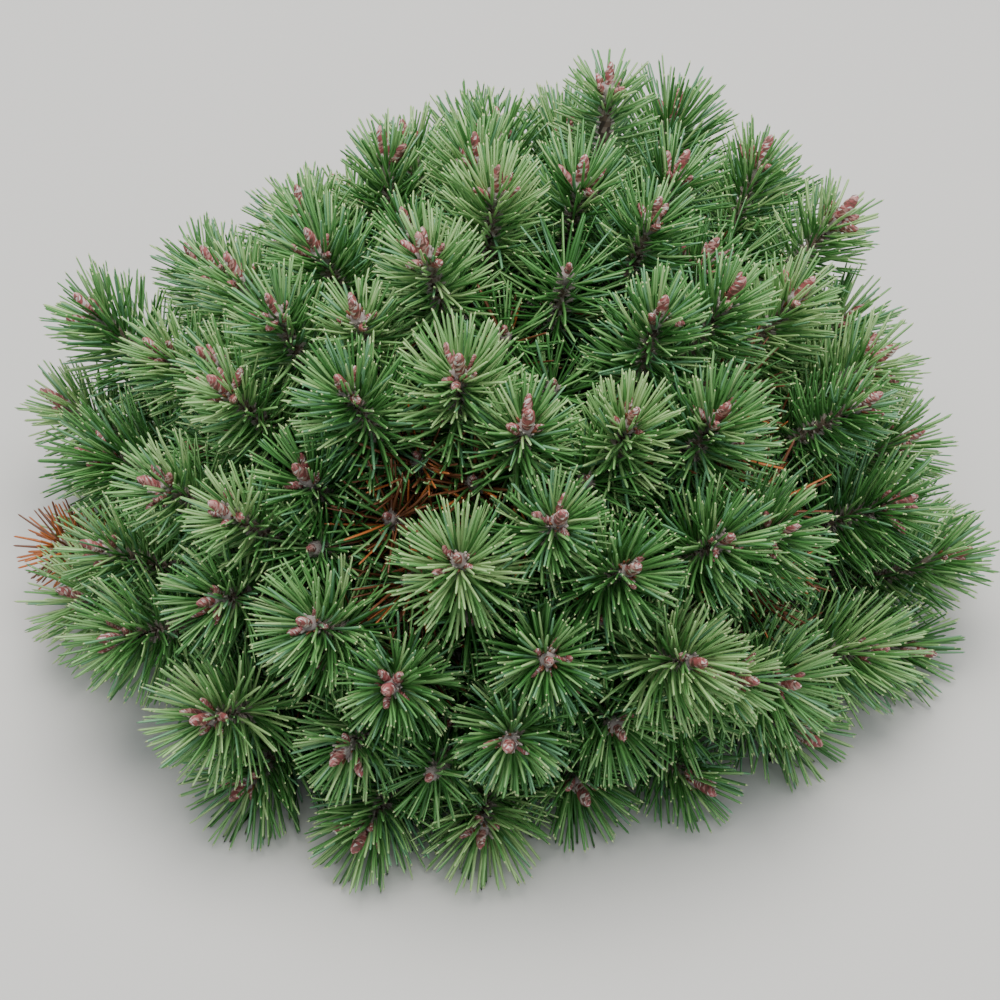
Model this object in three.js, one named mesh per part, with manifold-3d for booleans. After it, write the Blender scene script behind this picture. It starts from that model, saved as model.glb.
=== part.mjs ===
// A dwarf mugo pine: a low evergreen cushion that is rooted in the ground.
// A short trunk carries whorls of boughs. Each bough ends in one mass of foliage: a stem
// whose twigs each end in a shoot, which is a slim core with sprays of needles round it
// and a bud at its tip. Millimetres, +Z up, with the origin at the flat foot of the trunk.
import * as THREE from "three";
import { mergeVertices } from "three/addons/utils/BufferGeometryUtils.js";
import Module from "manifold-3d";

const wasm = await Module();
wasm.setup();

// ---- The crown ----
// Half sizes are from the heart, the point that the crown spreads from, to the bud tips.
// `tuck` is how much the crown draws in below the heart.
const CROWN = { halfWidth: 222, halfDepth: 214, rise: 215, heart: 45, tuck: 0.4 };
const HEART = new THREE.Vector3(0, 0, CROWN.heart);

// Every mass of foliage: its name, its azimuth (0 faces -Y, + turns towards +X) and its
// elevation from the heart in degrees, and its reach as a share of the crown's.
const MASSES = [
  ["crown_top", -175, 86, 1.0],
  ["leader", 150, 63, 0.98],
  ["back_left_top", -145, 60, 0.96],
  ["left_shoulder", -72, 57, 0.98],
  ["top_front_left", -12, 64, 1.0],
  ["top_front_right", 31, 54, 1.0],
  ["top_right", 75, 57, 1.0],
  ["right_back", 129, 41, 1.1],
  ["right_shoulder", 78, 32, 1.0],
  ["centre_right", 37, 35, 1.0],
  ["centre", -7, 39, 1.02],
  ["centre_left", -49, 34, 1.02],
  ["left_side", -94, 31, 0.93],
  ["left_low", -74, 1, 1.03],
  ["left_front", -39, 9, 1.08],
  ["front_left", -15, 21, 1.01],
  ["front_middle", 1, 15, 1.03],
  ["front_right", 27, 22, 1.03],
  ["right_low", 43, 9, 1.02],
  ["right_side_low", 79, 4, 1.12],
  ["right_back_low", 108, 9, 1.0],
  ["back_right", 137, 10, 0.98],
  ["back", 168, 35, 1.0],
  ["back_low", 168, 9, 0.97],
  ["back_left_low", -160, 9, 0.98],
  ["back_left", -137, 33, 0.91],
  ["left_back_low", -130, 8, 1.0],
  ["left_foot", -103, 7, 1.12],
];

// Where no shoot comes up, so that the crown opens on its dark inside: azimuth, elevation.
const HOLLOWS = [
  [33, 76],
  [66, 38],
  [55, 19],
  [-21, 44],
];

// ---- Shoots, needles and buds ----
const SHOOT = {
  count: 105,
  turn: 137.5, // degrees of azimuth from one shoot to the next, before they are relaxed
  scatter: 0.2, // how far a tip strays before it is relaxed, in radians at the heart
  length: 52, // of the stretch that bears needles
  lengthSpread: 14,
  bud: 11,
  upwards: 0.55, // how far a shoot turns up from its way out of the heart
  tilt: 0.3, // how far it strays from that to either side
  vigour: 0.3, // how much the needles' lengths differ from shoot to shoot
  apart: 0.36, // the spacing that the tips are pushed to, in radians at the heart
  hollow: 0.42, // the spacing that they are pushed to from a hollow
  rounds: 30,
  lowest: -0.1, // the lowest tip's height over the heart, as a share of the reach
  ground: 14, // the lowest that a shoot's foot can be over the ground
  dipped: 0.2, // the share of shoots that are set back, so that the crown isn't a shell
  dip: 26,
  uneven: 12,
  leader: 36, // how far the middle shoot of the mass "leader" stands over the crown
};
const CORE = { sides: 5, radius: 4.2, foot: 3.0, neck: 3.4, bands: [0, 0.38, 0.7, 1] };
const NEEDLE = {
  length: 37,
  lengthSpread: 6,
  leanAtFoot: 72, // from the shoot's axis, in degrees
  leanAtTip: 40,
  leanSpread: 8,
  sideways: 0.2,
  shortest: 8,
};

// ---- Limbs ----
const TRUNK = { height: 104, foot: 17, top: 8.5, flare: 9, flareHeight: 30, roots: 5, sides: 10 };
const LEAN = new THREE.Vector2(5, -3); // how far the trunk's top leans from its foot
const BOUGH = { lowest: 19, highest: 92, foot: 5.4, tip: 4.6, sides: 5, steps: 3, end: 92 };
const STEM = { end: 140, fork: 102, step: 9, sunk: 6, foot: 4.6, tip: 3.8, sides: 5 };

// ---- Clearances ----
const GAP = 0.3; // between solids that meet
const SPACE_GAP = 0.4; // from a mass to the edge of its space
const GROUND_GAP = 3; // from the lowest needle to the ground
const LEAF_GAP = 1.2; // between the needles of neighbouring shoots
const FINEST = 0.02; // the shortest edge that a solid keeps

// A repeatable chance from 0 to 1, for the k-th draw of the i-th thing.
function chance(i, k) {
  let h = Math.imul(i + 1, 374761393) ^ Math.imul(k + 1, 668265263);
  h = Math.imul(h ^ (h >>> 13), 1274126177);
  h ^= h >>> 16;
  return (h >>> 0) / 4294967296;
}

function direction(azimuth, elevation) {
  const a = THREE.MathUtils.degToRad(azimuth);
  const e = THREE.MathUtils.degToRad(elevation);
  return new THREE.Vector3(
    Math.sin(a) * Math.cos(e),
    -Math.cos(a) * Math.cos(e),
    Math.sin(e),
  );
}

// How far the crown reaches from its heart along a direction.
function crownReach(way) {
  const { halfWidth, halfDepth, rise, tuck } = CROWN;
  const drawnIn = 1 + tuck * Math.min(0, way.z);
  return drawnIn / Math.hypot(way.x / halfWidth, way.y / halfDepth, way.z / rise);
}

const masses = MASSES.map(([name, azimuth, elevation, reach]) => {
  return { name, azimuth, elevation, reach, way: direction(azimuth, elevation) };
});

// Two directions square to an axis and to each other.
function across(axis) {
  const helper = Math.abs(axis.z) < 0.9 ? new THREE.Vector3(0, 0, 1) : new THREE.Vector3(1, 0, 0);
  const side = helper.clone().cross(axis).normalize();
  return [side, axis.clone().cross(side)];
}

function massNearest(way) {
  return masses.reduce((best, mass) => (mass.way.dot(way) > best.way.dot(way) ? mass : best));
}

// The tips of all shoots as ways from the heart. They start on a spiral up the crown. The
// one nearest each mass's way leads that mass and is set on its way. The others are pushed
// apart until they stand evenly, away from the hollows, and join the mass that is nearest.
function shootWays() {
  const tips = [];
  for (let i = 0; i < SHOOT.count; i++) {
    const height = THREE.MathUtils.lerp(SHOOT.lowest, 1, (i + 0.5) / SHOOT.count);
    const way = direction(i * SHOOT.turn, THREE.MathUtils.radToDeg(Math.asin(height)));
    way.x += (chance(i, 0) - 0.5) * SHOOT.scatter;
    way.y += (chance(i, 1) - 0.5) * SHOOT.scatter;
    tips.push({ way: way.normalize(), apart: SHOOT.apart, leads: false });
  }
  for (const { way } of masses) {
    const free = tips.filter((tip) => !tip.leads);
    const nearest = free.reduce((best, tip) => (tip.way.dot(way) > best.way.dot(way) ? tip : best));
    nearest.way.copy(way);
    nearest.leads = true;
  }
  const hollows = HOLLOWS.map(([azimuth, elevation]) => {
    return { way: direction(azimuth, elevation), apart: SHOOT.hollow };
  });
  for (let round = 0; round < SHOOT.rounds; round++) {
    const pushes = tips.map((tip) => {
      const push = new THREE.Vector3();
      for (const other of [...tips, ...hollows]) {
        const away = tip.way.clone().sub(other.way);
        const distance = away.length();
        if (other !== tip && distance < other.apart)
          push.addScaledVector(away, (0.25 * (other.apart - distance)) / distance);
      }
      return push;
    });
    tips.forEach((tip, i) => {
      if (tip.leads) return;
      tip.way.add(pushes[i]);
      tip.way.z = Math.max(tip.way.z, SHOOT.lowest);
      tip.way.normalize();
    });
  }
  return tips.map((tip) => ({ ...tip, mass: massNearest(tip.way) }));
}

// Where each shoot stands: its foot, its axis, its length, its number and its vigour.
// A mass keeps to the space that is nearer to its own shoots' ways than to any others.
// `sides` has the inward normals of the planes, all through the heart, that bound this
// shoot's share of that space.
function placeShoots() {
  const ways = shootWays();
  return ways.map(({ way, mass, leads }, number) => {
    const standsOut = leads && mass.name === "leader";
    const dip = !leads && chance(number, 2) < SHOOT.dipped ? SHOOT.dip : 0;
    const uneven = (chance(number, 3) - 0.5) * SHOOT.uneven;
    const raised = standsOut ? SHOOT.leader : uneven - dip;
    const reach = crownReach(way) * mass.reach + raised;
    const tip = HEART.clone().addScaledVector(way, reach);
    const axis = way.clone();
    axis.x += (chance(number, 9) - 0.5) * SHOOT.tilt;
    axis.y += (chance(number, 10) - 0.5) * SHOOT.tilt;
    axis.z += SHOOT.upwards;
    axis.normalize();
    const spread = (chance(number, 4) - 0.5) * SHOOT.lengthSpread;
    const length = SHOOT.length + (standsOut ? SHOOT.leader : spread);
    const foot = tip.clone().addScaledVector(axis, -length - SHOOT.bud);
    foot.z = Math.max(foot.z, SHOOT.ground);
    const foreign = ways.filter((other) => other.mass !== mass);
    const sides = foreign.map((other) => way.clone().sub(other.way).normalize());
    for (const side of sides) {
      const inside = side.dot(foot.clone().sub(HEART)) - 2 * CORE.radius;
      if (inside < 0) foot.addScaledVector(side, -inside);
    }
    axis.copy(tip).sub(foot).normalize();
    const vigour = 1 + (chance(number, 11) - 0.5) * SHOOT.vigour;
    return { mass, number, sides, foot, axis, vigour, length: tip.distanceTo(foot) - SHOOT.bud };
  });
}

// ---- Solids from points and faces ----
function solidOf(points, faces) {
  const geometry = new THREE.BufferGeometry();
  geometry.setAttribute(
    "position",
    new THREE.Float32BufferAttribute(points.flatMap((p) => p.toArray()), 3),
  );
  geometry.setIndex(faces.flat());
  const merged = mergeVertices(geometry, 1e-4);
  return new wasm.Manifold(
    new wasm.Mesh({
      numProp: 3,
      vertProperties: merged.attributes.position.array,
      triVerts: new Uint32Array(merged.index.array),
    }),
  );
}

// A ring of points round a centre, with its own radius at each turn.
function ring(centre, axis, radiusAt, sides, turned = 0) {
  const [side, up] = across(axis);
  return Array.from({ length: sides }, (_, i) => {
    const turn = (2 * Math.PI * (i + turned)) / sides;
    const radius = radiusAt(turn);
    return centre
      .clone()
      .addScaledVector(side, Math.cos(turn) * radius)
      .addScaledVector(up, Math.sin(turn) * radius);
  });
}

// A closed skin over rings of the same number of points, with flat ends.
function loft(rings) {
  const sides = rings[0].length;
  const faces = [];
  for (let k = 0; k + 1 < rings.length; k++)
    for (let i = 0; i < sides; i++) {
      const [a, b] = [k * sides + i, k * sides + ((i + 1) % sides)];
      faces.push([a, b, b + sides], [a, b + sides, a + sides]);
    }
  const last = (rings.length - 1) * sides;
  for (let i = 1; i + 1 < sides; i++) {
    faces.push([0, i + 1, i]);
    faces.push([last, last + i, last + i + 1]);
  }
  return solidOf(rings.flat(), faces);
}

// A tapering limb along a curve.
function limb(curve, foot, tip, sides, steps) {
  const rings = [];
  for (let k = 0; k <= steps; k++) {
    const radius = THREE.MathUtils.lerp(foot, tip, k / steps);
    rings.push(ring(curve.getPoint(k / steps), curve.getTangent(k / steps), () => radius, sides));
  }
  return loft(rings);
}

function largest(solid) {
  return solid.decompose().sort((a, b) => b.volume() - a.volume())[0];
}

// ---- Trunk ----
function trunkCentre(z) {
  const share = z / TRUNK.height;
  return new THREE.Vector3(LEAN.x * share * share, LEAN.y * share * share, z);
}

// The trunk, or the same form made wider, to cut the boughs back to its bark.
function trunkSolid(wider = 0) {
  const heights = [0, 0.06, 0.14, 0.26, 0.45, 0.7, 1].map((share) => share * TRUNK.height);
  const rings = heights.map((z) => {
    const radius = THREE.MathUtils.lerp(TRUNK.foot, TRUNK.top, z / TRUNK.height) + wider;
    const flare = TRUNK.flare * Math.max(0, 1 - z / TRUNK.flareHeight) ** 2;
    const radiusAt = (turn) => radius + flare * (0.6 + 0.4 * Math.cos(turn * TRUNK.roots));
    return ring(trunkCentre(z), new THREE.Vector3(0, 0, 1), radiusAt, TRUNK.sides);
  });
  return loft(rings);
}

// ---- Boughs ----
// The boughs leave the trunk in the order of their elevation, the lowest first, and the
// last one stands on the trunk's top. Each ends square to its mass's way.
const upwardOrder = [...masses].sort((a, b) => a.elevation - b.elevation);

function boughCurve(mass) {
  const rank = upwardOrder.indexOf(mass);
  const last = upwardOrder.length - 1;
  const end = HEART.clone().addScaledVector(mass.way, BOUGH.end);
  if (rank === last) {
    const start = trunkCentre(TRUNK.height);
    start.z += GAP;
    const lift = new THREE.Vector3(0, 0, (BOUGH.end + CROWN.heart - TRUNK.height) / 3);
    return new THREE.CubicBezierCurve3(
      start,
      start.clone().add(lift),
      end.clone().addScaledVector(mass.way, -lift.z),
      end,
    );
  }
  const share = rank / (last - 1);
  const start = trunkCentre(THREE.MathUtils.lerp(BOUGH.lowest, BOUGH.highest, share));
  const leaving = direction(mass.azimuth, mass.elevation * 0.7);
  const stride = start.distanceTo(end) * 0.4;
  return new THREE.CubicBezierCurve3(
    start,
    start.clone().addScaledVector(leaving, stride),
    end.clone().addScaledVector(mass.way, -stride),
    end,
  );
}

// A bough is cut back by 0.3 mm from the trunk's bark and from those that leave below it.
// `wider` thickens it, to cut others back from it.
function boughSolid(mass, wider = 0) {
  const { foot, tip, sides, steps } = BOUGH;
  return limb(boughCurve(mass), foot + wider, tip + wider, sides, steps);
}

function boughSolids() {
  const solids = new Map();
  let taken = trunkSolid(GAP);
  for (const mass of upwardOrder) {
    solids.set(mass, largest(boughSolid(mass).subtract(taken)));
    taken = taken.add(boughSolid(mass, GAP));
  }
  return solids;
}

// ---- Needles ----
// How far a needle can run before it would leave its shoot's space or near the ground.
function room(sides, from, way) {
  let most = Infinity;
  for (const side of sides) {
    const closing = -side.dot(way);
    const inside = side.dot(from.clone().sub(HEART)) - SPACE_GAP;
    if (closing > 1e-6) most = Math.min(most, inside / closing);
  }
  if (way.z < -1e-6) most = Math.min(most, (from.z - GROUND_GAP) / -way.z);
  return most;
}

// The shortest distance between two straight stretches.
function between(a, b) {
  const u = a.to.clone().sub(a.from);
  const v = b.to.clone().sub(b.from);
  const w = a.from.clone().sub(b.from);
  const [uu, uv, vv, uw, vw] = [u.dot(u), u.dot(v), v.dot(v), u.dot(w), v.dot(w)];
  const clamp = (x) => Math.min(1, Math.max(0, x));
  const crossed = uu * vv - uv * uv;
  let s = crossed > 1e-9 ? clamp((uv * vw - vv * uw) / crossed) : 0;
  const t = clamp((uv * s + vw) / vv);
  s = clamp((uv * t - uw) / uu);
  return w.addScaledVector(u, s).addScaledVector(v, -t).length();
}

// One shoot on its twig: a slim core whose every face is drawn out into a spray of
// needles, with a bud on top. `others` holds what stands round it, as stretches with a
// thickness, and the shoot's own sprays are added to it.
function shootSolid(shoot, others) {
  const { start, foot, axis, length, number, vigour } = shoot;
  const { sides, bands } = CORE;
  const [side, up] = across(axis);
  const turned = chance(number, 5);
  const points = ring(start, axis, () => CORE.foot, sides, turned);
  bands.forEach((share, k) => {
    const radius = k === 0 ? CORE.foot : k === bands.length - 1 ? CORE.neck : CORE.radius;
    const centre = foot.clone().addScaledVector(axis, share * length);
    points.push(...ring(centre, axis, () => radius, sides, (k % 2) / 2 + turned));
  });
  const faces = [];
  const own = [];

  const drawOut = (a, b, c, share) => {
    const middle = new THREE.Vector3().add(points[a]).add(points[b]).add(points[c]).divideScalar(3);
    const out = middle.clone().sub(foot);
    out.addScaledVector(axis, -out.dot(axis)).normalize();
    const seed = number * 64 + own.length;
    const leanTo = THREE.MathUtils.lerp(NEEDLE.leanAtFoot, NEEDLE.leanAtTip, share);
    const lean = THREE.MathUtils.degToRad(leanTo + (chance(seed, 6) - 0.5) * NEEDLE.leanSpread);
    const sideways = (chance(seed, 7) - 0.5) * NEEDLE.sideways;
    const way = axis.clone().multiplyScalar(Math.cos(lean)).addScaledVector(out, Math.sin(lean));
    way.addScaledVector(side, sideways * up.dot(out));
    way.addScaledVector(up, -sideways * side.dot(out)).normalize();
    const wanted = NEEDLE.length + (chance(seed, 8) - 0.5) * NEEDLE.lengthSpread;
    let run = Math.min(wanted * vigour, room(shoot.sides, middle, way));
    const spray = { from: middle, to: middle.clone().addScaledVector(way, run), radius: 0.8 };
    const meets = (other) => between(spray, other) < other.radius + spray.radius + LEAF_GAP;
    while (run > NEEDLE.shortest && others.some(meets)) {
      run *= 0.85;
      spray.to = middle.clone().addScaledVector(way, run);
    }
    own.push(spray);
    points.push(spray.to);
    const tip = points.length - 1;
    faces.push([a, b, tip], [b, c, tip], [c, a, tip]);
  };

  for (let i = 0; i < sides; i++) {
    const next = (i + 1) % sides;
    faces.push([i, next, sides + next], [i, sides + next, sides + i]);
  }
  // The rings round the core stand half a side on from one another, so that the faces
  // between them are even triangles.
  for (let k = 0; k + 1 < bands.length; k++)
    for (let i = 0; i < sides; i++) {
      const next = (i + 1) % sides;
      const low = (k + 1) * sides;
      const high = low + sides;
      const share = (bands[k] + bands[k + 1]) / 2;
      const [above, below] = k % 2 === 0 ? [i, next] : [next, i];
      drawOut(low + i, low + next, high + above, share);
      drawOut(low + below, high + next, high + i, share);
    }
  for (let i = 1; i + 1 < sides; i++) faces.push([0, i + 1, i]);
  points.push(foot.clone().addScaledVector(axis, length + SHOOT.bud));
  const top = bands.length * sides;
  for (let i = 0; i < sides; i++) faces.push([top + i, top + ((i + 1) % sides), points.length - 1]);
  others.push(...own);
  return solidOf(points, faces);
}

// ---- Masses of foliage ----
function alongStem(mass, distance) {
  return HEART.clone().addScaledVector(mass.way, distance);
}

// The shoot nearest the stem's own way goes on from its end, and the rest fork off lower.
function joinStem(mass, shoots) {
  shoots.sort((a, b) => b.axis.dot(mass.way) - a.axis.dot(mass.way));
  shoots.forEach((shoot, k) => {
    const distance = k === 0 ? STEM.end - STEM.sunk : STEM.fork + k * STEM.step;
    shoot.start = alongStem(mass, distance);
  });
}

// The stems, twigs and cores of all masses, as straight stretches with a thickness.
function woodOf(shoots) {
  const stems = masses.map((mass) => {
    const [from, to] = [alongStem(mass, BOUGH.end), alongStem(mass, STEM.end)];
    return { from, to, radius: STEM.foot };
  });
  const twigs = shoots.flatMap(({ number, start, foot, axis, length }) => {
    const bud = foot.clone().addScaledVector(axis, length + SHOOT.bud);
    return [
      { number, from: start, to: foot, radius: CORE.foot },
      { number, from: foot, to: bud, radius: CORE.radius },
    ];
  });
  return [...stems, ...twigs];
}

function massSolid(mass, shoots, wood) {
  const stem = new THREE.LineCurve3(alongStem(mass, BOUGH.end + GAP), alongStem(mass, STEM.end));
  const pieces = [limb(stem, STEM.foot, STEM.tip, STEM.sides, 1)];
  const sprays = [];
  for (const shoot of shoots) {
    const others = [...wood.filter((piece) => piece.number !== shoot.number), ...sprays];
    const before = others.length;
    pieces.push(shootSolid(shoot, others));
    sprays.push(...others.slice(before));
  }
  return largest(wasm.Manifold.union(pieces).simplify(FINEST));
}

// ---- The scene graph ----
const bark = new THREE.MeshStandardMaterial({ color: 0x5f5148, roughness: 0.95 });
const foliage = new THREE.MeshStandardMaterial({ color: 0x3f6b36, roughness: 0.6 });

function meshOf(name, solid, material) {
  const { vertProperties, triVerts, numProp } = solid.getMesh();
  const geometry = new THREE.BufferGeometry();
  const positions = new Float32Array((vertProperties.length / numProp) * 3);
  for (let i = 0; i < positions.length / 3; i++)
    positions.set(vertProperties.subarray(i * numProp, i * numProp + 3), i * 3);
  geometry.setAttribute("position", new THREE.BufferAttribute(positions, 3));
  geometry.setIndex(new THREE.BufferAttribute(triVerts, 1));
  geometry.computeVertexNormals();
  const mesh = new THREE.Mesh(geometry, material);
  mesh.name = name;
  return mesh;
}

function makePine() {
  const pine = new THREE.Group();
  pine.add(meshOf("trunk", trunkSolid(), bark));
  const boughs = boughSolids();
  const shoots = placeShoots();
  const shootsOf = (mass) => shoots.filter((shoot) => shoot.mass === mass);
  for (const mass of masses) joinStem(mass, shootsOf(mass));
  const wood = woodOf(shoots);
  for (const mass of masses) {
    pine.add(meshOf(`bough_${mass.name}`, boughs.get(mass), bark));
    pine.add(meshOf(`foliage_${mass.name}`, massSolid(mass, shootsOf(mass), wood), foliage));
  }
  return pine;
}

export default makePine();
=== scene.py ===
"""A dwarf mugo pine, dressed for the eye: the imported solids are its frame.

The crown is grown again by the rule of the part's source, with the same sizes and the same
chances, and carried on to side shoots, single needles, buds and bark. Lengths are in
millimetres until a mesh is made, with +Z up and the heart of the crown over the trunk's foot.
"""

import math
from typing import Callable, NamedTuple

import bpy
import numpy as np
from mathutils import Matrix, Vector


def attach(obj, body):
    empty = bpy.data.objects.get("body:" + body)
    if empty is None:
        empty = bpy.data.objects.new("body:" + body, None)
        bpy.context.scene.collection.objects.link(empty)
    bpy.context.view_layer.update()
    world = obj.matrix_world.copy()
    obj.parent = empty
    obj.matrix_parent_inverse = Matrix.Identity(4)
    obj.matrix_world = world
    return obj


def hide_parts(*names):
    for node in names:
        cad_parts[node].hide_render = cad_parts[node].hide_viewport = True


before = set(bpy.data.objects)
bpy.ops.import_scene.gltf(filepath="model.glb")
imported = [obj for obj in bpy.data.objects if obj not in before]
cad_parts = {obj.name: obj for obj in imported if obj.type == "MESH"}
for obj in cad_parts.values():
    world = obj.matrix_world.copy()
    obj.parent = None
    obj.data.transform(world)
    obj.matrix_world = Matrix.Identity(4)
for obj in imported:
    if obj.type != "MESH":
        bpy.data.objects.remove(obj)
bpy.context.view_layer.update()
MM = 0.001
UP = np.array([0.0, 0.0, 1.0])
RIGHT = np.array([1.0, 0.0, 0.0])

# ---- The rule of the part's source ----
# Sizes are from the heart, the point that the crown spreads from, to the bud tips. `tuck` is
# how much the crown draws in below the heart.
CROWN = {"half_width": 222, "half_depth": 214, "rise": 215, "heart": 45, "tuck": 0.4}
HEART = UP * CROWN["heart"]

# Every mass of foliage: its name, its azimuth (0 faces -Y, + turns towards +X) and its
# elevation from the heart in degrees, and its reach as a share of the crown's.
MASSES = [
    ("crown_top", -175, 86, 1.0),
    ("leader", 150, 63, 0.98),
    ("back_left_top", -145, 60, 0.96),
    ("left_shoulder", -72, 57, 0.98),
    ("top_front_left", -12, 64, 1.0),
    ("top_front_right", 31, 54, 1.0),
    ("top_right", 75, 57, 1.0),
    ("right_back", 129, 41, 1.1),
    ("right_shoulder", 78, 32, 1.0),
    ("centre_right", 37, 35, 1.0),
    ("centre", -7, 39, 1.02),
    ("centre_left", -49, 34, 1.02),
    ("left_side", -94, 31, 0.93),
    ("left_low", -74, 1, 1.03),
    ("left_front", -39, 9, 1.08),
    ("front_left", -15, 21, 1.01),
    ("front_middle", 1, 15, 1.03),
    ("front_right", 27, 22, 1.03),
    ("right_low", 43, 9, 1.02),
    ("right_side_low", 79, 4, 1.12),
    ("right_back_low", 108, 9, 1.0),
    ("back_right", 137, 10, 0.98),
    ("back", 168, 35, 1.0),
    ("back_low", 168, 9, 0.97),
    ("back_left_low", -160, 9, 0.98),
    ("back_left", -137, 33, 0.91),
    ("left_back_low", -130, 8, 1.0),
    ("left_foot", -103, 7, 1.12),
]
# Where no main shoot comes up, so that the crown opens on its dark inside: azimuth, elevation.
HOLLOWS = [(33, 76), (66, 38), (55, 19), (-21, 44)]
SHOOT = {
    "count": 105,
    "turn": 137.5,  # degrees of azimuth from one shoot to the next
    "scatter": 0.2,  # how far a tip strays from that, in radians at the heart
    "length": 52,  # of the stretch that bears needles
    "length_spread": 14,
    "bud": 11,
    "upwards": 0.55,  # how far a shoot turns up from its way out of the heart
    "tilt": 0.3,  # how far it strays from that to either side
    "vigour": 0.3,  # how much the needles' lengths differ from shoot to shoot
    "apart": 0.36,  # the spacing that the tips are pushed to, in radians at the heart
    "hollow": 0.42,  # the same from a hollow
    "rounds": 30,
    "lowest": -0.1,  # the lowest tip's height over the heart, as a share of the reach
    "ground": 14,  # the lowest that a shoot's foot can be over the ground
    "dipped": 0.2,  # the share of shoots that are set back
    "dip": 26,
    "uneven": 12,
    "leader": 36,  # how far the tall shoot stands over the crown
}
CORE_RADIUS = 4.2
TRUNK = {"height": 104, "foot": 17, "top": 8.5, "flare": 9, "flare_height": 30, "roots": 5}
FLARE_MEAN, FLARE_SWING = 0.6, 0.4  # the flare's share all round, and more of it at the roots
LEAN = (5, -3)  # how far the trunk's top leans from its foot
BOUGH = {"lowest": 19, "highest": 92, "foot": 5.4, "tip": 4.6, "end": 92}
LEAVING = 0.7  # a bough's elevation where it leaves the trunk, as a share of its mass's
STRIDE = 0.4  # how far either end of a bough pulls it straight, as a share of its reach
STEM = {"end": 140, "fork": 102, "step": 9, "sunk": 6, "foot": 4.6, "tip": 3.8}
FAR = 9  # more than any two ways are apart
PUSH = 0.25  # how far a way gives way in one round, as a share of the room that it lacks
STEEP = 0.9  # the rise of an axis from which its sides are found with +X and not with +Z

# ---- What only the dressed plant has ----
SIDE_SHOOT = {
    "count": 66,
    "turn": 222.5,
    "lowest": 0.02,
    "apart": 0.24,
    "rounds": 40,
    "length": 40,
    "bud": 6,
    "shallow": 26,  # how far its tip stays below the crown, at least and at most
    "deep": 62,
    "sunken": 46,  # the same in a hollow
    "leaves": 0.6,  # where it leaves its neighbour's twig, as a share of the way to its foot
}
SIDE_NUMBERS = 1000  # side shoots are numbered from here on, and main shoots from 0
OLD_NUMBERS = 2000  # what is added to a shoot's number for the old needles below it
DEAD_WAY = (-83, 1)  # azimuth and elevation of a shoot that has died
DEAD_DEPTH = -13  # it stands out of the crown
FILLING_WAY = (-10, 4)  # one more side shoot, which fills a gap low in front
FILLING_DEPTH = 18
HOLLOW_WIDTHS = [0.13, 0.2, 0.2, 0.24]  # how wide each stays open, in radians at the heart
HOLLOW_BROWN = [0.12, 0.3, 0.3, 0.65]  # share of brown among the old needles in each
BROWN_ROUND = 1.8  # how far round a hollow the old needles are brown, in hollow widths
SPIRAL = math.radians(137.5)  # the turn from one leaf of a twig to the next
# Every piece of the crown takes in the masses of one sector. All are equal, and the first is
# round azimuth 0.
SECTORS = ["front", "front_right", "back_right", "back", "back_left", "front_left"]


class Draw:
    """The number of every draw that `chance` is asked for."""

    SCATTER_X, SCATTER_Y, DIP, UNEVEN, LENGTH = range(5)
    DEPTH = DIP  # of a side shoot, which has no dip
    TILT_X, TILT_Y, VIGOUR = range(9, 12)
    ALONG, TURN, LEAN, SIDEWAYS, RUN, WIDTH, BEND, CURL, ROLL, PALE_TIP = range(20, 30)
    TONE = 31
    RUSTY, BROWNED, LEAN_FOOT, LEAN_TIP, DEEPER, MIDDLE, STRAY = range(33, 40)
    BUD_LIFT, BUD_TONE, CLUSTER, BUDS, BUD_TURN, BUD_LEAN, BUD_SIZE = range(40, 47)
    SCALE_PLACE, SCALE_LEAN, SCALE_LENGTH = range(47, 50)
    TWIG_PEG, TWIG_TONE, STEM_PEG, STEM_TONE, SCALE_TONE, TWO_TONED = range(50, 56)
    SCALE_TURN = STEM_TONE  # shared by two unrelated draws
    NOISE = 60
    FRESH = 583


WORD = 0xFFFFFFFF  # a chance is made in whole numbers of 32 bits
MIX = (374761393, 668265263, 1274126177)
SHIFTS = (13, 16)


def chance(i, draw):
    """A repeatable chance from 0 to 1, for one draw of the i-th thing."""
    i = np.asarray(i, dtype=np.int64)
    h = (((i + 1) * MIX[0]) & WORD) ^ (((draw + 1) * MIX[1]) & WORD)
    h = ((h ^ (h >> SHIFTS[0])) * MIX[2]) & WORD
    return (h ^ (h >> SHIFTS[1])) / (WORD + 1)


def swing(i, draw):
    """The same chance, from -0.5 to 0.5."""
    return chance(i, draw) - 0.5


def vary(least_and_more, i, draw):
    """A value by chance, from its least up to as much more as it may have."""
    least, more = least_and_more
    return least + more * chance(i, draw)


def deal(shares, i, draw):
    """Deals a material number to each of many, by shares that add up to 1."""
    return np.searchsorted(np.cumsum(shares)[:-1], chance(i, draw), side="right")


def unit(v):
    return v / np.linalg.norm(v, axis=-1, keepdims=True)


def lerp(a, b, share):
    return a + (b - a) * share


def direction(azimuth, elevation):
    a, e = math.radians(azimuth), math.radians(elevation)
    return np.array([math.sin(a) * math.cos(e), -math.cos(a) * math.cos(e), math.sin(e)])


def across(axis):
    """Two directions square to an axis and to each other."""
    helper = UP if abs(axis[2]) < STEEP else RIGHT
    side = unit(np.cross(helper, axis))
    return side, np.cross(axis, side)


def around(axis, turns):
    """The directions square to an axis at each of many turns round it."""
    side, up = across(axis)
    return np.cos(turns)[:, None] * side + np.sin(turns)[:, None] * up


def bezier(points, steps):
    t = np.linspace(0, 1, steps)[:, None]
    rows = list(points)
    while len(rows) > 1:
        rows = [a * (1 - t) + b * t for a, b in zip(rows, rows[1:])]
    return rows[0]


# ---- Masses and shoots ----
def nearest_sector(azimuth):
    return SECTORS[round(azimuth * len(SECTORS) / 360) % len(SECTORS)]


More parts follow.
